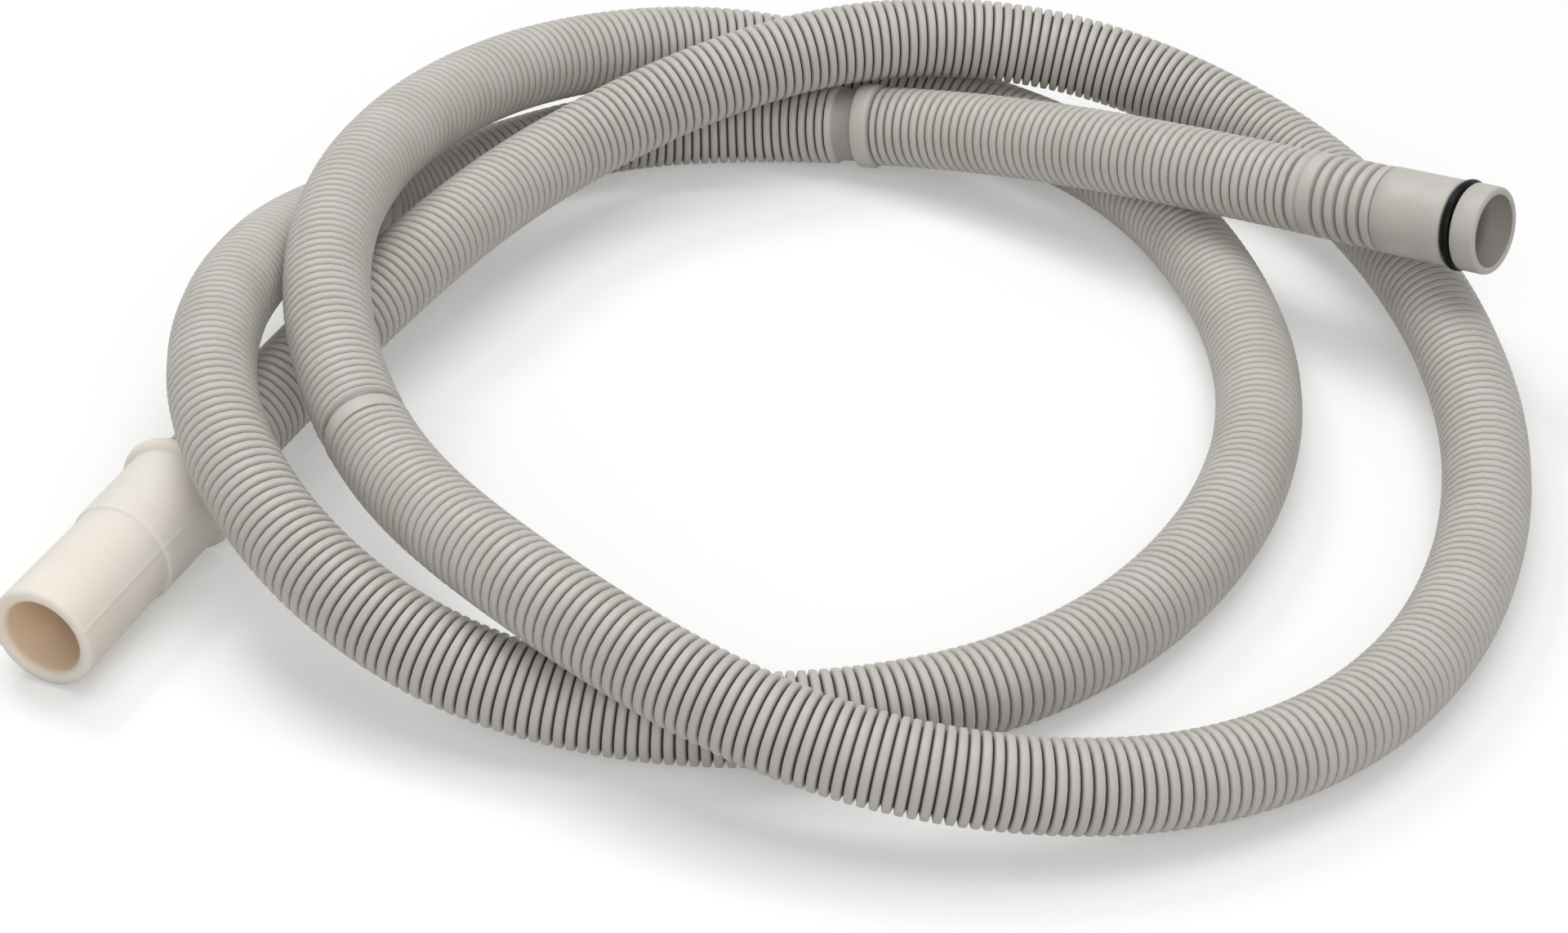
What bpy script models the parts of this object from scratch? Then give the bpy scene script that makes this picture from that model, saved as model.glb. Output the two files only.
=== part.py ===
"""Dishwasher drain hose, laid down in two and a half loose loops.

Metres, +Z up, with the floor at z = 0. The hose runs from the plug end, which goes into the
appliance, to the rubber sleeve, which goes over a waste spigot. Both ends are turned shapes
that stand on the hose's own centreline, so they follow the route wherever it ends.
"""

import math

import bpy
from mathutils import Vector

MM = 0.001

# Hose
HOSE_DIAMETER = 24.0 * MM
HOSE_POINTS = 80
HOSE_BEVEL_RESOLUTION = 4
END_DIRECTION_STEP = 0.5 * MM

# Clearances
SEAT_GAP = 0.3 * MM
SLIP_GAP = 0.35 * MM

# Plug end, in order from the hose to the mouth
BAND_DIAMETER = 24.0 * MM
COLLAR_LENGTH = 1.4 * MM
NECK_LENGTH = 2.6 * MM
NECK_DEPTH = 0.7 * MM
NECK_SLOPE = 0.8 * MM
BAND_LENGTH = 3.85 * MM
RIB_COUNT = 5
RIB_PITCH = 3.85 * MM
RIB_GROOVE_WIDTH = 0.9 * MM
RIB_GROOVE_DEPTH = 1.2 * MM
BARREL_DIAMETER = 24.5 * MM
BARREL_LENGTH = 22.0 * MM
NOSE_DIAMETER = 24.8 * MM
NOSE_LENGTH = 7.4 * MM
NOSE_ROUND = 1.2 * MM
NOSE_LIP_BEVEL = 0.3 * MM
PLUG_BORE_DIAMETER = 19.4 * MM
NOSE_BORE_DIAMETER = 20.6 * MM
THROAT_WALL = 1.2 * MM
THROAT_TAPER = 1.5 * MM

# Seal ring in the plug end
RING_SECTION = 3.0 * MM
RING_STANDS_OUT = 0.75 * MM

# End sleeve, in order from the hose to the mouth
SLEEVE_LENGTH = 70.8 * MM
BEAD_STANDS_OUT = 2.1 * MM
BEAD_WIDTH = 4.6 * MM
SHANK_DIAMETER = 30.0 * MM
SHANK_LENGTH = 31.4 * MM
SLEEVE_STEP_LENGTH = 1.2 * MM
SPOUT_DIAMETER = 28.5 * MM
MOUTH_DIAMETER = 29.4 * MM
MOUTH_BORE_DIAMETER = 21.6 * MM
MOUTH_ROUND = 1.6 * MM
MOUTH_LIP_ROUND = 1.2 * MM
HOSE_IN_SLEEVE = 32.5 * MM
BORE_STEP_LENGTH = 1.5 * MM

# Edges and facets of the turned pieces
EDGE = 0.35 * MM
TURNED_SEGMENTS = 48
ROUND_STEPS = 5
RING_SIDES = 12

# The hose's route in millimetres, from the plug end to the sleeve: x, y, and the height of
# the hose's underside above the floor. It lies on the floor between its crossings and passes
# over itself in long low humps.
ROUTE = [
    (147, 61.5, 32.1), (101, 98, 22.5), (49.5, 137, 9), (-3, 156, 1), (-55.5, 150.5, 0.2),
    (-104.5, 118.5, 2), (-144, 43.5, 25), (-149, -59.5, 33.5), (-126, -102.5, 23.5), (-83, -133, 9),
    (-40.5, -143, 2), (7.5, -144.5, 1.5), (51, -131, 1), (95, -92.5, 0.2), (126, -26.5, 1),
    (123.5, 67, 0.2), (89.5, 136, 0.5), (44, 170.5, 2), (-12, 180, 13.5), (-66, 158, 23),
    (-107, 102, 34), (-126, 3.5, 40), (-105, -74, 32), (-68.5, -125.5, 31), (-32, -155, 24),
    (9.5, -174, 15), (49.5, -180, 9), (97, -172, 3.5), (140.5, -144.5, 1), (177, -84.5, 0.5),
    (189, -13, 4), (175, 65.5, 9.5), (141, 130, 12), (95.5, 158.5, 20.5), (36.5, 161.5, 27.5),
    (-12.5, 147, 25), (-63.5, 114, 17), (-100.5, 59.5, 17), (-148, -21.5, 7.3), (-161.4, -49.8, 5.7),
]


def clear_scene():
    for item in list(bpy.data.objects):
        bpy.data.objects.remove(item, do_unlink=True)


def make_collection(name):
    collection = bpy.data.collections.new(name)
    bpy.context.scene.collection.children.link(collection)
    return collection


def make_material(name, colour, roughness, metallic=0.0):
    material = bpy.data.materials.new(name)
    material.use_nodes = True
    shader = material.node_tree.nodes["Principled BSDF"]
    shader.inputs["Base Color"].default_value = (*colour, 1.0)
    shader.inputs["Roughness"].default_value = roughness
    shader.inputs["Metallic"].default_value = metallic
    material.diffuse_color = (*colour, 1.0)
    return material


def hose_material():
    return make_material("grey polypropylene hose", (0.52, 0.50, 0.47), 0.42)


def plug_material():
    return make_material("grey polypropylene plug", (0.56, 0.54, 0.51), 0.40)


def ring_material():
    return make_material("black nitrile rubber", (0.012, 0.012, 0.013), 0.32)


def sleeve_material():
    return make_material("cream moulded rubber", (0.83, 0.77, 0.69), 0.55)


def natural_spline(points):
    """Gives a function of distance along the chords, through every point, with free ends."""
    distances = [0.0]
    for one, two in zip(points, points[1:]):
        distances.append(distances[-1] + (two - one).length)
    spans = [b - a for a, b in zip(distances, distances[1:])]
    slopes = [(b - a) / span for a, b, span in zip(points, points[1:], spans)]

    # Second derivatives, zero at both ends, by elimination down the rows and back up.
    ratios = [0.0]
    bends = [Vector((0.0, 0.0, 0.0))]
    for k in range(1, len(points) - 1):
        pivot = 2 * (spans[k - 1] + spans[k]) - spans[k - 1] * ratios[-1]
        bends.append((6 * (slopes[k] - slopes[k - 1]) - spans[k - 1] * bends[-1]) / pivot)
        ratios.append(spans[k] / pivot)
    bends.append(Vector((0.0, 0.0, 0.0)))
    for k in range(len(points) - 2, 0, -1):
        bends[k] = bends[k] - ratios[k] * bends[k + 1]

    def at(distance):
        k = 0
        while k < len(spans) - 1 and distance > distances[k + 1]:
            k += 1
        before = (distances[k + 1] - distance) / spans[k]
        after = 1.0 - before
        curved = (before**3 - before) * bends[k] + (after**3 - after) * bends[k + 1]
        return before * points[k] + after * points[k + 1] + curved * spans[k] ** 2 / 6

    return at, distances[-1]


def hose_centreline():
    """Evenly spaced points on the smooth curve through the route, and its two end directions."""
    radius = HOSE_DIAMETER / 2
    stations = [Vector((x * MM, y * MM, under * MM + radius)) for x, y, under in ROUTE]
    at, span = natural_spline(stations)
    count = HOSE_POINTS - 1
    line = [at(span * k / (count - 1)) for k in range(count)]
    step = END_DIRECTION_STEP
    start_direction = (at(0.0) - at(step)).normalized()
    end_direction = (at(span) - at(span - step)).normalized()
    return line, start_direction, end_direction


def add_hose(collection, line, end_direction):
    """The hose's crest diameter as one tube, whose last straight run is pushed into the sleeve."""
    run = line + [line[-1] + end_direction * HOSE_IN_SLEEVE]
    data = bpy.data.curves.new("hose", "CURVE")
    data.dimensions = "3D"
    spline = data.splines.new("POLY")
    spline.points.add(len(run) - 1)
    for point, place in zip(spline.points, run):
        point.co = (*place, 1.0)
    data.bevel_depth = HOSE_DIAMETER / 2
    data.bevel_resolution = HOSE_BEVEL_RESOLUTION
    data.use_fill_caps = True
    data.materials.append(hose_material())
    hose = bpy.data.objects.new("hose", data)
    collection.objects.link(hose)
    return hose


def arc(centre_r, centre_z, radius, start, stop, steps=ROUND_STEPS):
    """Points of a rounded edge in the half plane of a turned profile, angles in degrees from +r."""
    points = []
    for k in range(steps + 1):
        angle = math.radians(start + (stop - start) * k / steps)
        points.append((centre_r + radius * math.cos(angle), centre_z + radius * math.sin(angle)))
    return points


def add_turned(name, collection, profile, material, place, direction):
    """Turns a closed profile of (radius, height) about its own axis and stands it on place.

    The profile runs down the outside from the top and back up through the bore.
    """
    mesh = bpy.data.meshes.new(name)
    corners = [(radius, 0.0, height) for radius, height in profile]
    edges = [(k, (k + 1) % len(corners)) for k in range(len(corners))]
    mesh.from_pydata(corners, edges, [])
    piece = bpy.data.objects.new(name, mesh)
    collection.objects.link(piece)
    mesh.materials.append(material)
    screw = piece.modifiers.new("turn", "SCREW")
    screw.axis = "Z"
    screw.steps = TURNED_SEGMENTS
    screw.render_steps = TURNED_SEGMENTS
    screw.use_merge_vertices = True
    screw.merge_threshold = 0.00001
    screw.use_smooth_shade = True
    piece.location = place
    piece.rotation_mode = "QUATERNION"
    piece.rotation_quaternion = direction.to_track_quat("Z", "Y")
    return piece


def plug_heights():
    """Heights along the plug end, from the hose's end to the mouth."""
    ribs = COLLAR_LENGTH + NECK_LENGTH + BAND_LENGTH
    barrel = ribs + RIB_COUNT * RIB_PITCH + RIB_GROOVE_WIDTH
    groove = barrel + BARREL_LENGTH
    groove_width = RING_SECTION + 2 * SEAT_GAP
    nose = groove + groove_width
    return ribs, barrel, groove, nose, nose + NOSE_LENGTH


def ring_centre_radius():
    return BARREL_DIAMETER / 2 + RING_STANDS_OUT - RING_SECTION / 2


def groove_floor_radius():
    return ring_centre_radius() - RING_SECTION / 2 - SEAT_GAP


def plug_profile():
    """The plug end: a collar, a soft neck, a band, wide ribs, a smooth barrel, the groove, the nose."""
    ribs, barrel, groove, nose, mouth = plug_heights()
    band = BAND_DIAMETER / 2
    outer = BARREL_DIAMETER / 2
    tip = NOSE_DIAMETER / 2
    nose_bore = NOSE_BORE_DIAMETER / 2
    bore = PLUG_BORE_DIAMETER / 2
    floor = groove_floor_radius()
    throat = floor - THROAT_WALL
    lip = NOSE_LIP_BEVEL

    # Down the outside, from the mouth to the hose.
    profile = arc(tip - NOSE_ROUND, mouth - NOSE_ROUND, NOSE_ROUND, 90, 0)
    profile += [(tip, nose), (floor, nose), (floor, groove), (outer, groove), (outer, barrel)]
    for k in range(RIB_COUNT + 1):
        top = barrel - k * RIB_PITCH
        bottom = top - RIB_GROOVE_WIDTH
        crest = outer if k == 0 else band
        if k:
            profile += [(crest, top + EDGE)]
        profile += [(crest - EDGE, top), (band - RIB_GROOVE_DEPTH, top - EDGE)]
        profile += [(band - RIB_GROOVE_DEPTH, bottom + EDGE), (band - EDGE, bottom)]
        profile += [(band, bottom - EDGE)]
    neck_end = COLLAR_LENGTH + NECK_LENGTH
    profile += [(band, neck_end), (band - NECK_DEPTH, neck_end - NECK_SLOPE)]
    profile += [(band - NECK_DEPTH, COLLAR_LENGTH + NECK_SLOPE), (band, COLLAR_LENGTH), (band, 0.0)]

    # Back up through the bore, which draws in behind the seal so that the wall there stays whole.
    profile += [(bore, 0.0), (bore, groove - 2 * THROAT_TAPER), (throat, groove - THROAT_TAPER)]
    profile += [(throat, nose + SEAT_GAP), (nose_bore, nose + SEAT_GAP + THROAT_TAPER)]
    profile += [(nose_bore, mouth - lip), (nose_bore + lip, mouth)]
    return profile


def ring_profile():
    """The seal ring's round section, about its own middle."""
    centre = ring_centre_radius()
    points = []
    for k in range(RING_SIDES):
        angle = math.radians(90 - 360 * k / RING_SIDES)
        points.append((centre + RING_SECTION / 2 * math.cos(angle), RING_SECTION / 2 * math.sin(angle)))
    return points


def sleeve_profile():
    """The sleeve: a rolled bead on the hose side, a shank, a step and a spout that flares a little."""
    shank = SHANK_DIAMETER / 2
    spout = SPOUT_DIAMETER / 2
    mouth = MOUTH_DIAMETER / 2
    mouth_bore = MOUTH_BORE_DIAMETER / 2
    socket = HOSE_DIAMETER / 2 + SLIP_GAP
    step = SHANK_LENGTH
    bead_top = BEAD_WIDTH
    bead_round = BEAD_WIDTH / 2
    bead_centre = shank + BEAD_STANDS_OUT - bead_round
    seat = HOSE_IN_SLEEVE + SEAT_GAP

    # Down the outside, from the mouth to the bead.
    profile = arc(mouth - MOUTH_ROUND, SLEEVE_LENGTH - MOUTH_ROUND, MOUTH_ROUND, 90, 0)
    profile += [(spout, step + SLEEVE_STEP_LENGTH), (shank - EDGE, step), (shank, step - EDGE)]
    profile += [(shank, bead_top + EDGE)]
    profile += arc(bead_centre, bead_round, bead_round, 80, -90, 2 * ROUND_STEPS)

    # Back up through the socket that the hose is pushed into, and the bore beyond it.
    profile += [(socket, 0.0), (socket, seat), (mouth_bore, seat + BORE_STEP_LENGTH)]
    lip = MOUTH_LIP_ROUND
    return profile + arc(mouth_bore + lip, SLEEVE_LENGTH - lip, lip, 180, 90)


def build():
    clear_scene()
    parts = make_collection("dishwasher_drain_hose")
    line, start_direction, end_direction = hose_centreline()
    add_hose(parts, line, end_direction)

    plug_place = line[0] + start_direction * SEAT_GAP
    add_turned("plug_end", parts, plug_profile(), plug_material(), plug_place, start_direction)

    _, _, groove, nose, _ = plug_heights()
    ring_place = plug_place + start_direction * (groove + nose) / 2
    add_turned("o_ring", parts, ring_profile(), ring_material(), ring_place, start_direction)

    add_turned("end_sleeve", parts, sleeve_profile(), sleeve_material(), line[-1], end_direction)


build()
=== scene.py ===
import math

import bpy
import numpy as np
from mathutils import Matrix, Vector


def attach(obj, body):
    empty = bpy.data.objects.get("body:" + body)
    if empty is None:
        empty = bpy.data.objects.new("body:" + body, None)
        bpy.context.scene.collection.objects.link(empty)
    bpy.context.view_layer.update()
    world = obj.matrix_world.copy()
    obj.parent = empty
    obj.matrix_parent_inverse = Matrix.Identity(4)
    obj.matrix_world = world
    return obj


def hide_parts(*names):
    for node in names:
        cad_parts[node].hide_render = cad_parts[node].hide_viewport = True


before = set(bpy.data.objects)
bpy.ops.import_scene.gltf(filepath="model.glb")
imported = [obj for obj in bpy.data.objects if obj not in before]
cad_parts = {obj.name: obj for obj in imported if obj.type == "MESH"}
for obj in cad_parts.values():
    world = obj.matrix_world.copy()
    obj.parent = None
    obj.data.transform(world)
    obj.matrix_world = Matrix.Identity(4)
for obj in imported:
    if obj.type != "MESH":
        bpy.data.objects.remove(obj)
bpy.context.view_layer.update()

mm = 0.001
print("stage: packed parts loaded")


def linearColour(hexCode):  # sRGB hex to the linear values that shaders take
    parts = [int(hexCode[k:k + 2], 16) / 255 for k in (1, 3, 5)]
    return [p / 12.92 if p <= 0.04045 else ((p + 0.055) / 1.055) ** 2.4 for p in parts] + [1.0]


def addNode(tree, kind, inputs=None, **settings):  # a node with its settings, values and links
    node = tree.nodes.new(kind)
    for name, value in settings.items():
        setattr(node, name, value)
    for name, value in (inputs or {}).items():
        if isinstance(value, bpy.types.NodeSocket):
            tree.links.new(value, node.inputs[name])
        else:
            node.inputs[name].default_value = value
    return node


def newMaterial(name):
    material = bpy.data.materials.new(name)
    material.use_nodes = True
    return material, material.node_tree, material.node_tree.nodes["Principled BSDF"]


# Camera, fitted to the photo
photoCamera = {
    "aim": (-1.5, -13.0, 0.0),  # mm, on the floor near the middle of the coil
    "elevation": 34.0,          # degrees above the floor
    "distance": 1190.0,         # mm
    "lens": 99.0,
    "sensor": 36.0,
}
tilt = math.radians(photoCamera["elevation"])
cameraData = bpy.data.cameras.new("photoCamera")
cameraData.lens = photoCamera["lens"]
cameraData.sensor_width = photoCamera["sensor"]
cameraData.sensor_fit = "HORIZONTAL"
cameraData.clip_start = 0.01
camera = bpy.data.objects.new("photoCamera", cameraData)
bpy.context.scene.collection.objects.link(camera)
away = Vector((0.0, -math.cos(tilt), math.sin(tilt))) * photoCamera["distance"]
camera.location = (Vector(photoCamera["aim"]) + away) * mm
camera.rotation_euler = (math.pi / 2 - tilt, 0.0, 0.0)
bpy.context.scene.camera = camera
print("stage: camera placed")


# Hose. The route in mm, from the plug end to the sleeve: x, y, height of the hose's underside.
routePoints = [
    (147, 61.5, 32.1), (101, 98, 22.5), (49.5, 137, 9), (-3, 156, 1), (-55.5, 150.5, 0.2),
    (-104.5, 118.5, 2), (-144, 43.5, 25), (-149, -59.5, 33.5), (-126, -102.5, 23.5), (-83, -133, 9),
    (-40.5, -143, 2), (7.5, -144.5, 1.5), (51, -131, 1), (95, -92.5, 0.2), (126, -26.5, 1),
    (123.5, 67, 0.2), (89.5, 136, 0.5), (44, 170.5, 2), (-12, 180, 13.5), (-66, 158, 23),
    (-107, 102, 34), (-126, 3.5, 40), (-105, -74, 32), (-68.5, -125.5, 31), (-32, -155, 24),
    (9.5, -174, 15), (49.5, -180, 9), (97, -172, 3.5), (140.5, -144.5, 1), (177, -84.5, 0.5),
    (189, -13, 4), (175, 65.5, 9.5), (141, 130, 12), (95.5, 158.5, 20.5), (36.5, 161.5, 27.5),
    (-12.5, 147, 25), (-63.5, 114, 17), (-100.5, 59.5, 17), (-148, -21.5, 7.3), (-161.4, -49.8, 5.7),
]

drainHose = {
    "crestRadius": 12.0,
    "valleyRadius": 10.0,
    "innerRadius": 9.2,
    "ribPitch": 2.956,
    "grooveHalfWidth": 0.53,  # at the ribs' edges
    "ribCamber": 0.18,        # how much lower a rib's edges lie than its top
    "ribTopHalf": 0.62,       # half width of a rib's flat top
    "sides": 22,
    "inSleeve": 32.5,
    "skinStep": 12.0,         # spacing of the inner skin's rings
    "sharpAngle": 48.0,       # degrees, from which an edge is drawn sharp
    # ribs run between these pairs of grooves, in mm along the hose from the plug end
    "ribRuns": [(0.6, 146.9), (165.6, 326.2), (338.4, 1449.9), (1459.6, 2476.5)],
    # plain places that the mould leaves: (mm along, radius)
    "plainPlaces": [
        # a narrow dip, a rolled bead, then a low plain band
        (147.8, 12.0), (148.8, 11.9), (149.2, 10.9), (149.7, 10.7), (150.0, 11.5), (150.3, 12.3),
        (150.8, 12.75), (151.6, 12.88), (153.6, 12.9), (155.2, 12.82), (155.9, 12.5), (156.2, 11.9),
        (156.5, 11.2), (157.0, 11.0),
        (159.5, 11.0), (162.3, 11.05), (162.8, 11.3), (163.2, 11.8), (163.7, 12.0), (165.0, 11.95),
        # two smooth bands with a soft dip between them
        (329.6, 11.95), (330.4, 11.45), (331.3, 11.15), (332.2, 11.45), (333.0, 11.9), (335.4, 12.0),
        # a soft shallow groove, then one rib as wide as two
        (1451.3, 11.9), (1451.9, 11.2), (1452.7, 10.8), (1453.5, 11.1), (1454.4, 11.75), (1455.3, 12.0),
        (1457.0, 12.05),
    ],
}


def naturalSpline(points):  # smooth curve by distance along the chords, with free ends
    marks = np.r_[0.0, np.cumsum(np.linalg.norm(np.diff(points, axis=0), axis=1))]
    spans = np.diff(marks)
    slopes = np.diff(points, axis=0) / spans[:, None]
    matrix = np.eye(len(points))
    sides = np.zeros_like(points)
    for k in range(1, len(points) - 1):
        matrix[k, k - 1:k + 2] = spans[k - 1], 2 * (spans[k - 1] + spans[k]), spans[k]
        sides[k] = 6 * (slopes[k] - slopes[k - 1])
    bends = np.linalg.solve(matrix, sides)

    def at(marksAsked):
        k = np.clip(np.searchsorted(marks, marksAsked) - 1, 0, len(spans) - 1)
        span = spans[k][:, None]
        before = (marks[k + 1] - marksAsked)[:, None] / span
        after = 1 - before
        curved = (before ** 3 - before) * bends[k] + (after ** 3 - after) * bends[k + 1]
        return before * points[k] + after * points[k + 1] + curved * span ** 2 / 6

    return at, marks[-1]


def hoseLine():  # dense centreline in mm with its running length, into the sleeve
    centres = np.array(routePoints, float) + [0.0, 0.0, drainHose["crestRadius"]]
    at, reach = naturalSpline(centres)
    line = at(np.linspace(0.0, reach, 6001))
    endDirection = line[-1] - line[-2]
    endDirection /= np.linalg.norm(endDirection)
    inside = line[-1] + endDirection * np.linspace(0.0, drainHose["inSleeve"], 41)[1:, None]
    line = np.vstack([line, inside])
    run = np.r_[0.0, np.cumsum(np.linalg.norm(np.diff(line, axis=0), axis=1))]
    startDirection = line[0] - line[1]
    return line, run, startDirection / np.linalg.norm(startDirection), endDirection


def hoseProfile(total):  # (mm along, radius) rows of the outside, plug end first
    crest, valley = drainHose["crestRadius"], drainHose["valleyRadius"]
    half, top = drainHose["grooveHalfWidth"], drainHose["ribTopHalf"]
    edge = crest - drainHose["ribCamber"]
    rows = [(0.0, edge)]
    for start, stop in drainHose["ribRuns"]:
        count = round((stop - start) / drainHose["ribPitch"])
        pitch = (stop - start) / count
        for k in range(count + 1):
            groove = start + k * pitch
            rows += [(groove - half, edge), (groove, valley), (groove + half, edge)]
            if k < count:
                rows += [(groove + pitch / 2 - top, crest), (groove + pitch / 2 + top, crest)]
    rows += drainHose["plainPlaces"]
    rows = sorted((max(0.0, along), radius) for along, radius in rows)
    lastRib = rows[-1][0]
    rows += [(lastRib + (total - lastRib) * k / 8, crest - 0.02) for k in range(1, 9)]
    return rows


def tubeMesh(name, rows, line, run, sides):  # rings of the given radii round the line, closed on itself
    along = np.array([row[0] for row in rows])
    radii = np.array([row[1] for row in rows])
    centres = np.column_stack([np.interp(along, run, line[:, axis]) for axis in range(3)])
    heading = np.gradient(line, run, axis=0)
    heading = np.column_stack([np.interp(along, run, heading[:, axis]) for axis in range(3)])
    heading /= np.linalg.norm(heading, axis=1)[:, None]
    side = np.cross(heading, [0.0, 0.0, 1.0])
    side /= np.linalg.norm(side, axis=1)[:, None]
    over = np.cross(side, heading)
    turns = np.arange(sides) * 2 * math.pi / sides
    outward = side[:, None, :] * np.cos(turns)[None, :, None] + over[:, None, :] * np.sin(turns)[None, :, None]
    places = (centres[:, None, :] + outward * radii[:, None, None]).reshape(-1, 3) * mm
    count = len(rows)
    first = np.arange(count)[:, None] * sides + np.arange(sides)[None, :]
    nextTurn = np.roll(first, -1, axis=1)
    faces = np.stack([first, np.roll(first, -1, axis=0), np.roll(nextTurn, -1, axis=0), nextTurn], axis=-1)
    mesh = bpy.data.meshes.new(name)
    mesh.from_pydata(places.tolist(), [], faces.reshape(-1, 4).tolist())
    mesh.polygons.foreach_set("use_smooth", np.ones(count * sides, bool))
    # grooveDepth also sets how much painted shade the hose material puts in the grooves
    depth = mesh.attributes.new("grooveDepth", "FLOAT", "POINT")  # 0 on the crests, 1 on the valley floor
    fall = (drainHose["crestRadius"] - radii) / (drainHose["crestRadius"] - drainHose["valleyRadius"])
    depth.data.foreach_set("value", np.repeat(np.clip(fall, 0.0, 1.0), sides))
    mesh.set_sharp_from_angle(angle=math.radians(drainHose["sharpAngle"]))
    piece = bpy.data.objects.new(name, mesh)
    bpy.context.scene.collection.objects.link(piece)
    return piece


def hosePlastic():
    # polypropylene, extruded and drawn by vacuum into a chain of moulds: waxy, slightly cloudy grey
    material, tree, shader = newMaterial("greyPolypropyleneFormed")
    place = addNode(tree, "ShaderNodeTexCoord").outputs["Object"]
    cloud = addNode(tree, "ShaderNodeTexNoise", {"Vector": place, "Scale": 1 / (14 * mm), "Detail": 3.0})
    share = addNode(tree, "ShaderNodeMapRange",
                    {"Value": cloud.outputs["Fac"], "From Min": 0.3, "From Max": 0.7})
    tone = addNode(tree, "ShaderNodeMix",
                   {"Factor": share.outputs["Result"], "A": linearColour("#C2BEB7"), "B": linearColour("#CBC7C1")},
                   data_type="RGBA")
    # painted shade: the grooves get little light, and their colour is drawn darker still to stand in for that
    # shade, which draws each rib with a dark line
    depth = addNode(tree, "ShaderNodeAttribute", attribute_name="grooveDepth").outputs["Fac"]
    grooveShadePainted = addNode(tree, "ShaderNodeMapRange", {"Value": depth, "From Min": 0.18, "From Max": 0.85})
    colour = addNode(tree, "ShaderNodeMix",
                     {"Factor": grooveShadePainted.outputs["Result"], "A": tone.outputs["Result"],
                      "B": linearColour("#5A5650")}, data_type="RGBA")
    tree.links.new(colour.outputs["Result"], shader.inputs["Base Color"])
    # fine haze of the mould's blasted skin, drawn coarser than it is so that it shows at all
    grain = addNode(tree, "ShaderNodeTexNoise", {"Vector": place, "Scale": 1 / (0.9 * mm), "Detail": 4.0})
    rough = addNode(tree, "ShaderNodeMapRange",
                    {"Value": grain.outputs["Fac"], "To Min": 0.38, "To Max": 0.52})
    tree.links.new(rough.outputs["Result"], shader.inputs["Roughness"])
    bump = addNode(tree, "ShaderNodeBump",
                   {"Height": grain.outputs["Fac"], "Strength": 0.12, "Distance": 0.05 * mm})
    tree.links.new(bump.outputs["Normal"], shader.inputs["Normal"])
    shader.inputs["IOR"].default_value = 1.49
    return material


line, run, plugDirection, sleeveDirection = hoseLine()
outside = hoseProfile(run[-1])
skinCount = round(run[-1] / drainHose["skinStep"])
innerSkin = [(run[-1] * (1 - k / skinCount), drainHose["innerRadius"]) for k in range(skinCount + 1)]
hose = tubeMesh("corrugatedHose", outside + innerSkin, line, run, drainHose["sides"])
hose.data.materials.append(hosePlastic())
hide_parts("hose")
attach(hose, "root")
print("stage: hose made,", 2 * len(hose.data.polygons), "triangles,", round(run[-1]), "mm long")


# Turned pieces: the plug end, its seal ring and the sleeve
def softDip(centre, halfWidth, depth, radius, steps=6):  # a round-bottomed groove in a turned profile
    rows = []
    for k in range(-steps, steps + 1):
        share = k / steps
        rows.append((radius - depth * (0.5 + 0.5 * math.cos(math.pi * share)), centre + halfWidth * share))
    return rows


def roundEdge(centreRadius, centreHeight, radius, start, stop, steps=6):  # degrees from straight out
    rows = []
    for k in range(steps + 1):
        angle = math.radians(start + (stop - start) * k / steps)
        rows.append((centreRadius + radius * math.cos(angle), centreHeight + radius * math.sin(angle)))
    return rows


def turnedPiece(name, profile, place, direction, turns=96, shape=None, marks=None):
    # turns a closed profile of (radius, height) in mm about its own +Z, then stands it on place;
    # marks are values from 0 to 1 along the profile that its material reads
    angles = [2 * math.pi * k / turns for k in range(turns)]
    places = []
    for angle in angles:
        for radius, height in profile:
            r = radius if shape is None else shape(radius, height, angle)
            places.append((r * math.cos(angle) * mm, r * math.sin(angle) * mm, height * mm))
    count = len(profile)
    faces = []
    for k in range(turns):
        following = (k + 1) % turns
        for j in range(count):
            after = (j + 1) % count
            faces.append((k * count + j, following * count + j, following * count + after, k * count + after))
    mesh = bpy.data.meshes.new(name)
    mesh.from_pydata(places, [], faces)
    mesh.polygons.foreach_set("use_smooth", np.ones(len(faces), bool))
    if marks is not None:
        mesh.attributes.new("marks", "FLOAT", "POINT").data.foreach_set("value", np.tile(marks, turns))
    piece = bpy.data.objects.new(name, mesh)
    bpy.context.scene.collection.objects.link(piece)
    piece.location = Vector(place) * mm
    piece.rotation_mode = "QUATERNION"
    piece.rotation_quaternion = Vector(direction).to_track_quat("Z", "Y")
    return piece


plugEnd = {
    "gap": 0.3,
    "bandRadius": 12.0,
    "neck": (2.7, 1.3, 0.7),       # height, half width, depth
    "firstGroove": 8.3,
    "groovePitch": 3.85,
    "softGrooves": 5,
    "softGroove": (1.15, 1.25),    # half width, depth
    "sharpGroove": (0.5, 1.2),
    "barrelRadius": 12.25,
    "seat": (50.0, 53.6, 9.7),     # the seal's groove: from, to, floor radius
    "noseRadius": 12.4,
    "mouth": 61.0,
    "noseRound": 1.1,
    "noseBore": 10.3,
    "throat": 8.6,
    "bore": 9.7,
    "lip": 0.45,
    # how much painted shade a place gets, from 0 to 1, standing in for the shade in the grooves and the bore
    "shadeFrom": (11.6, 10.8),     # radii between which a groove darkens
    "ribsUpTo": 28.6,              # height
    "boreShade": (0.6, 40.0, 60.8),  # how dark, and between which heights
}


def plugShade(p, rows):
    lightest, darkest = p["shadeFrom"]
    boreShade, boreStart, boreEnd = p["boreShade"]
    shades = []
    for radius, height in rows:
        if radius < p["noseBore"] + 0.01 and boreStart < height < boreEnd:
            shades.append(boreShade)
        elif radius > p["noseBore"] + 0.2 and 0.3 < height < p["ribsUpTo"]:
            shades.append(min(1.0, max(0.0, (lightest - radius) / (lightest - darkest))))
        else:
            shades.append(0.0)
    return shades


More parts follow.
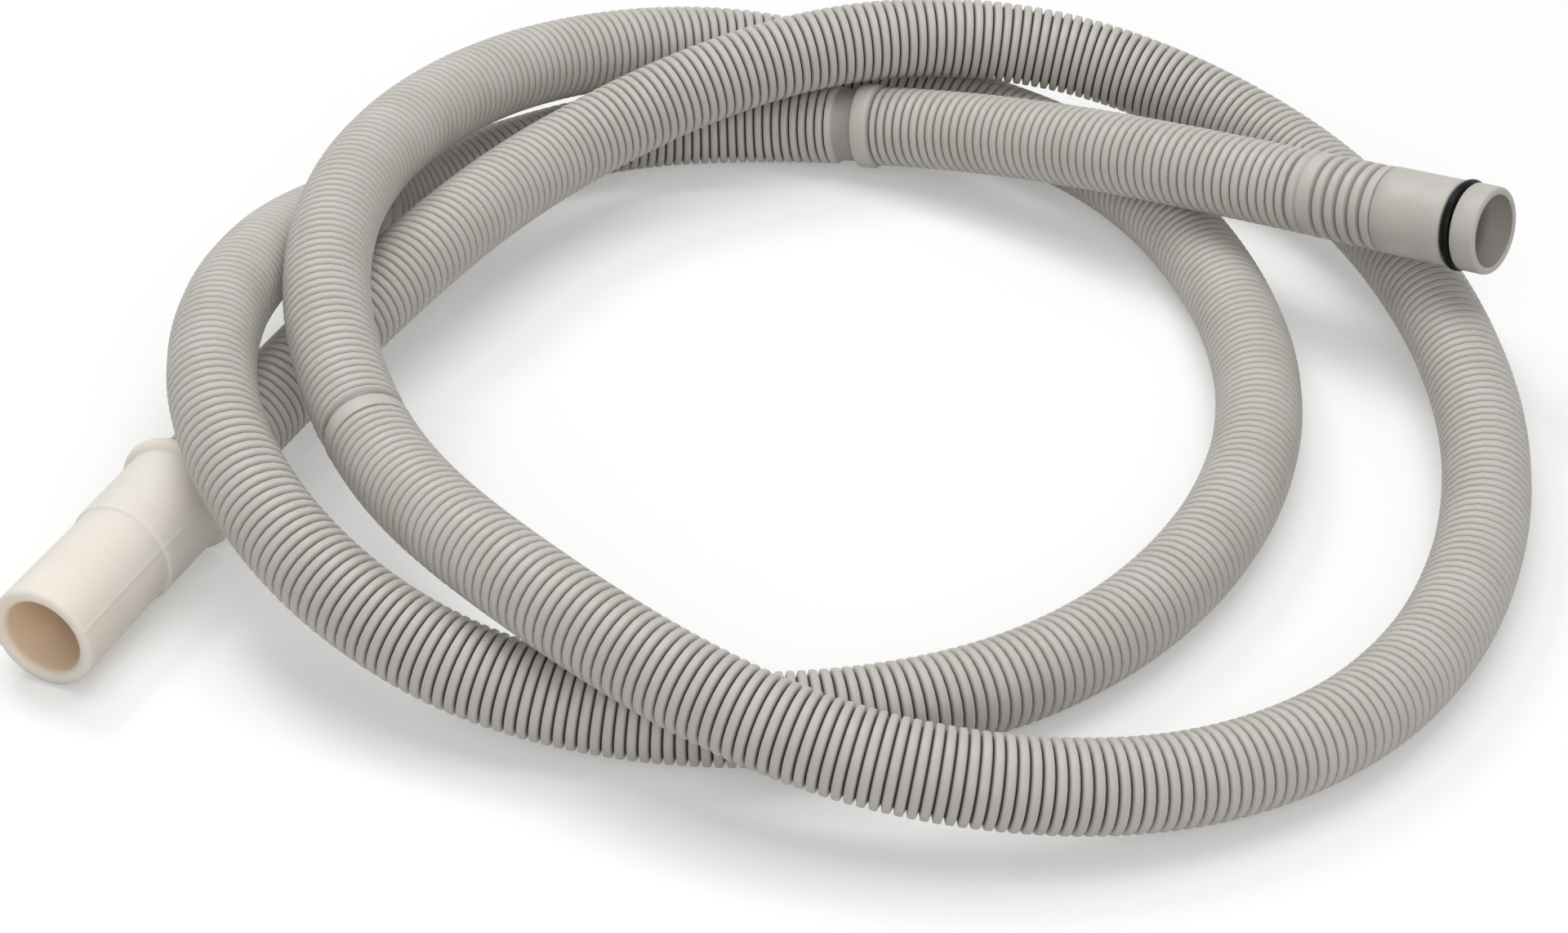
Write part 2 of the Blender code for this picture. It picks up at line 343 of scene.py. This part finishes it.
def plugProfile(p):
    seatStart, seatEnd, seatFloor = p["seat"]
    band, barrel, nose, mouth = p["bandRadius"], p["barrelRadius"], p["noseRadius"], p["mouth"]
    rows = [(p["bore"], 0.0), (band - 0.3, 0.0), (band, 0.3)]
    centre, half, depth = p["neck"]
    rows += softDip(centre, half, depth, band)
    half, depth = p["softGroove"]
    for k in range(p["softGrooves"]):
        groove = p["firstGroove"] + k * p["groovePitch"]
        rows += [(band + 0.05, groove - half - 0.35)] + softDip(groove, half, depth, band)
        rows += [(band + 0.05, groove + half + 0.35)]
    half, depth = p["sharpGroove"]
    groove = p["firstGroove"] + p["softGrooves"] * p["groovePitch"]
    rows += [(band + 0.05, groove - half - 0.5), (band, groove - half), (band - 0.2, groove - half + 0.12)]
    rows += [(band - depth, groove - 0.12), (band - depth, groove + 0.12)]
    rows += [(barrel - 0.25, groove + half - 0.12), (barrel, groove + half + 0.08)]
    rows += [(barrel, groove + 6), (barrel, groove + 12), (barrel, groove + 18), (barrel, seatStart - 0.3)]
    rows += [(barrel - 0.25, seatStart), (seatFloor, seatStart), (seatFloor, seatEnd), (nose - 0.25, seatEnd)]
    rows += [(nose, seatEnd + 0.3), (nose, mouth - p["noseRound"] - 2.0)]
    rows += roundEdge(nose - p["noseRound"], mouth - p["noseRound"], p["noseRound"], 0, 90, 8)
    lip, bore = p["lip"], p["noseBore"]
    rows += roundEdge(bore + lip, mouth - lip, lip, 90, 180, 5)
    rows += [(bore, mouth - 1.2), (bore - 0.1, mouth - 2.6), (bore - 0.5, mouth - 4.4)]
    rows += [(bore - 1.2, seatEnd + 1.0)]
    rows += [(p["throat"] + 0.1, seatEnd), (p["throat"], seatEnd - 1.2), (p["throat"], seatStart - 1.5)]
    rows += [(p["bore"], seatStart - 4.0), (p["bore"], 25.0)]
    return rows


def plugPlastic():
    # the same polypropylene, formed; its barrel and nose are skimmed on a lathe, which leaves faint
    # turned lines
    material, tree, shader = newMaterial("greyPolypropyleneTurned")
    place = addNode(tree, "ShaderNodeTexCoord").outputs["Object"]
    cloud = addNode(tree, "ShaderNodeTexNoise", {"Vector": place, "Scale": 1 / (9 * mm), "Detail": 3.0})
    share = addNode(tree, "ShaderNodeMapRange",
                    {"Value": cloud.outputs["Fac"], "From Min": 0.3, "From Max": 0.7})
    tone = addNode(tree, "ShaderNodeMix",
                   {"Factor": share.outputs["Result"], "A": linearColour("#C1BCB6"), "B": linearColour("#CAC5BF")},
                   data_type="RGBA")
    height = addNode(tree, "ShaderNodeSeparateXYZ", {"Vector": place}).outputs["Z"]
    skimmed = addNode(tree, "ShaderNodeMapRange",
                      {"Value": height, "From Min": 27.5 * mm, "From Max": 28.5 * mm})
    # the cutter's feed of about 0.1 mm is drawn at 0.4 mm, or it would not show
    stretched = addNode(tree, "ShaderNodeMapping", {"Vector": place, "Scale": (0.02, 0.02, 1.0)})
    feed = addNode(tree, "ShaderNodeTexNoise",
                   {"Vector": stretched.outputs["Vector"], "Scale": 1 / (0.4 * mm), "Detail": 3.0})
    shown = addNode(tree, "ShaderNodeMath",
                    {0: feed.outputs["Fac"], 1: skimmed.outputs["Result"]}, operation="MULTIPLY")
    dark = addNode(tree, "ShaderNodeMapRange",
                   {"Value": shown.outputs[0], "From Min": 0.4, "From Max": 0.7, "To Max": 0.35})
    colour = addNode(tree, "ShaderNodeMix",
                     {"Factor": dark.outputs["Result"], "A": tone.outputs["Result"], "B": linearColour("#BDB8B1")},
                     data_type="RGBA")
    # painted shade: the grooves between the ribs are drawn darker, as on the hose, and so is the bore, standing in
    # for the shade that falls in them
    depth = addNode(tree, "ShaderNodeAttribute", attribute_name="marks").outputs["Fac"]
    grooveAndBoreShadePainted = addNode(tree, "ShaderNodeMix",
                      {"Factor": depth, "A": colour.outputs["Result"], "B": linearColour("#8A847C")},
                      data_type="RGBA")
    tree.links.new(grooveAndBoreShadePainted.outputs["Result"], shader.inputs["Base Color"])
    rough = addNode(tree, "ShaderNodeMapRange", {"Value": feed.outputs["Fac"], "To Min": 0.42, "To Max": 0.54})
    tree.links.new(rough.outputs["Result"], shader.inputs["Roughness"])
    bump = addNode(tree, "ShaderNodeBump", {"Height": shown.outputs[0], "Strength": 0.1, "Distance": 0.05 * mm})
    tree.links.new(bump.outputs["Normal"], shader.inputs["Normal"])
    shader.inputs["IOR"].default_value = 1.49
    return material


plugPlace = line[0] + plugDirection * plugEnd["gap"]
plugRows = plugProfile(plugEnd)
plug = turnedPiece("plugEnd", plugRows, plugPlace, plugDirection, marks=plugShade(plugEnd, plugRows))
plug.data.materials.append(plugPlastic())
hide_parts("plug_end")
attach(plug, "root")


sealRing = {"centreRadius": 11.5, "section": 3.0, "height": 51.8}


def ringRubber():
    # nitrile rubber, moulded in a polished tool: deep black with a narrow soft highlight
    material, tree, shader = newMaterial("blackNitrileMoulded")
    place = addNode(tree, "ShaderNodeTexCoord").outputs["Object"]
    bloom = addNode(tree, "ShaderNodeTexNoise", {"Vector": place, "Scale": 1 / (2.5 * mm), "Detail": 4.0})
    tone = addNode(tree, "ShaderNodeMix", {"Factor": bloom.outputs["Fac"], "A": linearColour("#020202"),
                                           "B": linearColour("#070706")}, data_type="RGBA")
    tree.links.new(tone.outputs["Result"], shader.inputs["Base Color"])
    rough = addNode(tree, "ShaderNodeMapRange", {"Value": bloom.outputs["Fac"], "To Min": 0.26, "To Max": 0.38})
    tree.links.new(rough.outputs["Result"], shader.inputs["Roughness"])
    shader.inputs["IOR"].default_value = 1.52
    shader.inputs["Specular IOR Level"].default_value = 0.12
    return material


ringProfile = roundEdge(sealRing["centreRadius"], 0.0, sealRing["section"] / 2, 0, 345, 23)
ring = turnedPiece("sealRing", ringProfile, plugPlace + plugDirection * sealRing["height"], plugDirection)
ring.data.materials.append(ringRubber())
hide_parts("o_ring")
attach(ring, "root")
print("stage: plug end and seal ring made")


endSleeve = {
    "length": 70.8,
    "beadRadius": 2.3,
    "beadCentre": 14.8,
    "shankRadius": 15.0,
    "stepFrom": 30.9,
    "spoutRadius": 14.25,
    "mouthRadius": 14.7,
    "mouthRound": 1.7,
    "lipRound": 2.1,
    "mouthBore": 10.8,
    "socketRadius": 12.35,
    "socketDepth": 32.8,
    "partingAngle": 24.0,    # degrees round the sleeve, and once more on the far side
    "partingWidth": 1.3,     # degrees
    "partingHeight": 0.4,
    "turns": 180,            # facets round the sleeve, fine enough for the parting line
    "boreShadeFrom": 11.6,   # radius inside which the bore's yellower colour begins
}


def sleeveProfile(p):
    length, step = p["length"], p["stepFrom"]
    shank, spout, mouth = p["shankRadius"], p["spoutRadius"], p["mouthRadius"]
    rows = [(p["socketRadius"] + 0.5, 0.0)]
    rows += roundEdge(p["beadCentre"], p["beadRadius"], p["beadRadius"], -90, 76, 16)
    rows += [(shank + 0.14, 4.66), (shank, 4.95), (shank, 6.2), (shank, 12.0), (shank, 19.0)]
    rows += [(shank, step - 1.0)]
    # the shank's rounded end and the sharp crease where the spout begins
    rows += [(shank, step), (shank - 0.08, step + 0.35), (shank - 0.26, step + 0.62)]
    rows += [(shank - 0.52, step + 0.82)]
    rows += [(spout + 0.04, step + 1.02), (spout, step + 1.2), (spout + 0.01, step + 2.4)]
    for k in range(1, 5):
        share = k / 5
        rows.append((spout + (mouth - spout) * share, step + 2.4 + (length - step - 2.4) * share))
    rows += roundEdge(mouth - p["mouthRound"], length - p["mouthRound"], p["mouthRound"], 0, 90, 8)
    rows += roundEdge(p["mouthBore"] + p["lipRound"], length - p["lipRound"], p["lipRound"], 90, 180, 8)
    rows += [(p["mouthBore"], 58.0), (p["mouthBore"], 46.0), (p["mouthBore"], p["socketDepth"] + 1.5)]
    rows += [(p["socketRadius"], p["socketDepth"]), (p["socketRadius"], 12.0), (p["socketRadius"], 0.5)]
    return rows


def partingLine(radius, height, angle):  # the thin ridge where the two halves of the mould met
    if radius < endSleeve["socketRadius"] + 1.0:
        return radius
    offset = math.degrees(angle) - endSleeve["partingAngle"]
    away = min(abs((offset + turn + 180) % 360 - 180) for turn in (0, 180))
    return radius + endSleeve["partingHeight"] * max(0.0, 1 - away / endSleeve["partingWidth"])


def sleeveRubber():
    # cream thermoplastic rubber, moulded: matt, a little see-through, so its shaded inside glows warm
    material, tree, shader = newMaterial("creamRubberMoulded")
    place = addNode(tree, "ShaderNodeTexCoord").outputs["Object"]
    cloud = addNode(tree, "ShaderNodeTexNoise", {"Vector": place, "Scale": 1 / (18 * mm), "Detail": 3.0})
    share = addNode(tree, "ShaderNodeMapRange",
                    {"Value": cloud.outputs["Fac"], "From Min": 0.3, "From Max": 0.7})
    tone = addNode(tree, "ShaderNodeMix",
                   {"Factor": share.outputs["Result"], "A": linearColour("#EFE6DB"), "B": linearColour("#F5ECE2")},
                   data_type="RGBA")
    # painted warm light: the bore is drawn yellower than the outside, standing in for the warm light that bounces
    # about inside it
    bore = addNode(tree, "ShaderNodeAttribute", attribute_name="marks").outputs["Fac"]
    colour = addNode(tree, "ShaderNodeMix",
                     {"Factor": bore, "A": tone.outputs["Result"], "B": linearColour("#F8E2CA")}, data_type="RGBA")
    tree.links.new(colour.outputs["Result"], shader.inputs["Base Color"])
    skin = addNode(tree, "ShaderNodeTexNoise", {"Vector": place, "Scale": 1 / (0.8 * mm), "Detail": 5.0})
    rough = addNode(tree, "ShaderNodeMapRange",
                    {"Value": skin.outputs["Fac"], "To Min": 0.48, "To Max": 0.62})
    tree.links.new(rough.outputs["Result"], shader.inputs["Roughness"])
    bump = addNode(tree, "ShaderNodeBump",
                   {"Height": skin.outputs["Fac"], "Strength": 0.1, "Distance": 0.05 * mm})
    tree.links.new(bump.outputs["Normal"], shader.inputs["Normal"])
    shader.inputs["IOR"].default_value = 1.5
    shader.inputs["Subsurface Weight"].default_value = 0.6
    shader.inputs["Subsurface Radius"].default_value = (1.0, 0.86, 0.74)
    shader.inputs["Subsurface Scale"].default_value = 5 * mm
    return material


rimPlace = np.array(routePoints[-1], float) + [0.0, 0.0, drainHose["crestRadius"]]
sleeveRows = sleeveProfile(endSleeve)
# painted warm light in the bore, growing over 0.8 mm inward from boreShadeFrom
boreWarmLightPainted = [min(1.0, max(0.0, (endSleeve["boreShadeFrom"] - r) / 0.8)) for r, h in sleeveRows]
sleeve = turnedPiece("endSleeve", sleeveRows, rimPlace, sleeveDirection, endSleeve["turns"], partingLine, boreWarmLightPainted)
sleeve.data.materials.append(sleeveRubber())
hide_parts("end_sleeve")
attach(sleeve, "root")
print("stage: end sleeve made")


# Floor, light and background
studio = {
    "floorSize": 8.0,
    "floorBounce": "#D0CFCD",    # what the floor throws back on the hose
    "floorSeen": "#E4E4E4",      # what the camera sees of it, so that it is white and keeps its shadows
    "floorLift": 0.28,           # strength of a faint glow that only the camera and gloss see
    "sky": 0.29,
    # each lamp: place in m, size in m, power in W
    "lamps": {
        "overheadPanel": ((0.05, 0.1, 1.7), 1.3, 13.2),
        "keyPanel": ((-0.75, 0.85, 1.5), 0.5, 6.5),
        "fillPanel": ((0.1, -1.65, 1.05), 1.2, 10.0),
    },
}


def seenDirectly(tree):  # 1 for rays that the camera, a gloss or a see-through surface sends
    path = addNode(tree, "ShaderNodeLightPath")
    first = addNode(tree, "ShaderNodeMath",
                    {0: path.outputs["Is Camera Ray"], 1: path.outputs["Is Glossy Ray"]}, operation="MAXIMUM")
    both = addNode(tree, "ShaderNodeMath",
                   {0: first.outputs[0], 1: path.outputs["Is Transmission Ray"]}, operation="MAXIMUM")
    return both.outputs[0]


def addFloor():
    half = studio["floorSize"] / 2
    mesh = bpy.data.meshes.new("paleFloor")
    corners = [(-half, -half, 0), (half, -half, 0), (half, half, 0), (-half, half, 0)]
    mesh.from_pydata(corners, [], [(0, 1, 2, 3)])
    floor = bpy.data.objects.new("paleFloor", mesh)
    bpy.context.scene.collection.objects.link(floor)
    material, tree, shader = newMaterial("paleFloorPaper")
    seen = seenDirectly(tree)
    paper = addNode(tree, "ShaderNodeMix", {"Factor": seen, "A": linearColour(studio["floorBounce"]),
                                            "B": linearColour(studio["floorSeen"])}, data_type="RGBA")
    tree.links.new(paper.outputs["Result"], shader.inputs["Base Color"])
    shader.inputs["Roughness"].default_value = 0.9
    shader.inputs["Specular IOR Level"].default_value = 0.1
    lift = addNode(tree, "ShaderNodeMath", {0: seen, 1: studio["floorLift"]}, operation="MULTIPLY")
    glow = addNode(tree, "ShaderNodeEmission", {"Strength": lift.outputs[0]})
    both = addNode(tree, "ShaderNodeAddShader", {0: shader.outputs[0], 1: glow.outputs[0]})
    tree.links.new(both.outputs[0], tree.nodes["Material Output"].inputs["Surface"])
    mesh.materials.append(material)


def addLamps():
    for name, (place, size, power) in studio["lamps"].items():
        data = bpy.data.lights.new(name, "AREA")
        data.shape = "SQUARE"
        data.size = size
        data.energy = power
        lamp = bpy.data.objects.new(name, data)
        bpy.context.scene.collection.objects.link(lamp)
        lamp.location = place
        lamp.rotation_euler = (-Vector(place)).to_track_quat("-Z", "Y").to_euler()


def addSky():
    world = bpy.data.worlds.new("whiteRoom")
    bpy.context.scene.world = world
    world.use_nodes = True
    tree = world.node_tree
    strength = addNode(tree, "ShaderNodeMapRange",
                       {"Value": seenDirectly(tree), "To Min": studio["sky"], "To Max": 1.0})
    tree.nodes["Background"].inputs["Color"].default_value = linearColour("#FFFFFF")
    tree.links.new(strength.outputs["Result"], tree.nodes["Background"].inputs["Strength"])


addFloor()
addLamps()
addSky()
bpy.context.scene.view_settings.view_transform = "Standard"
print("stage: floor and light set")
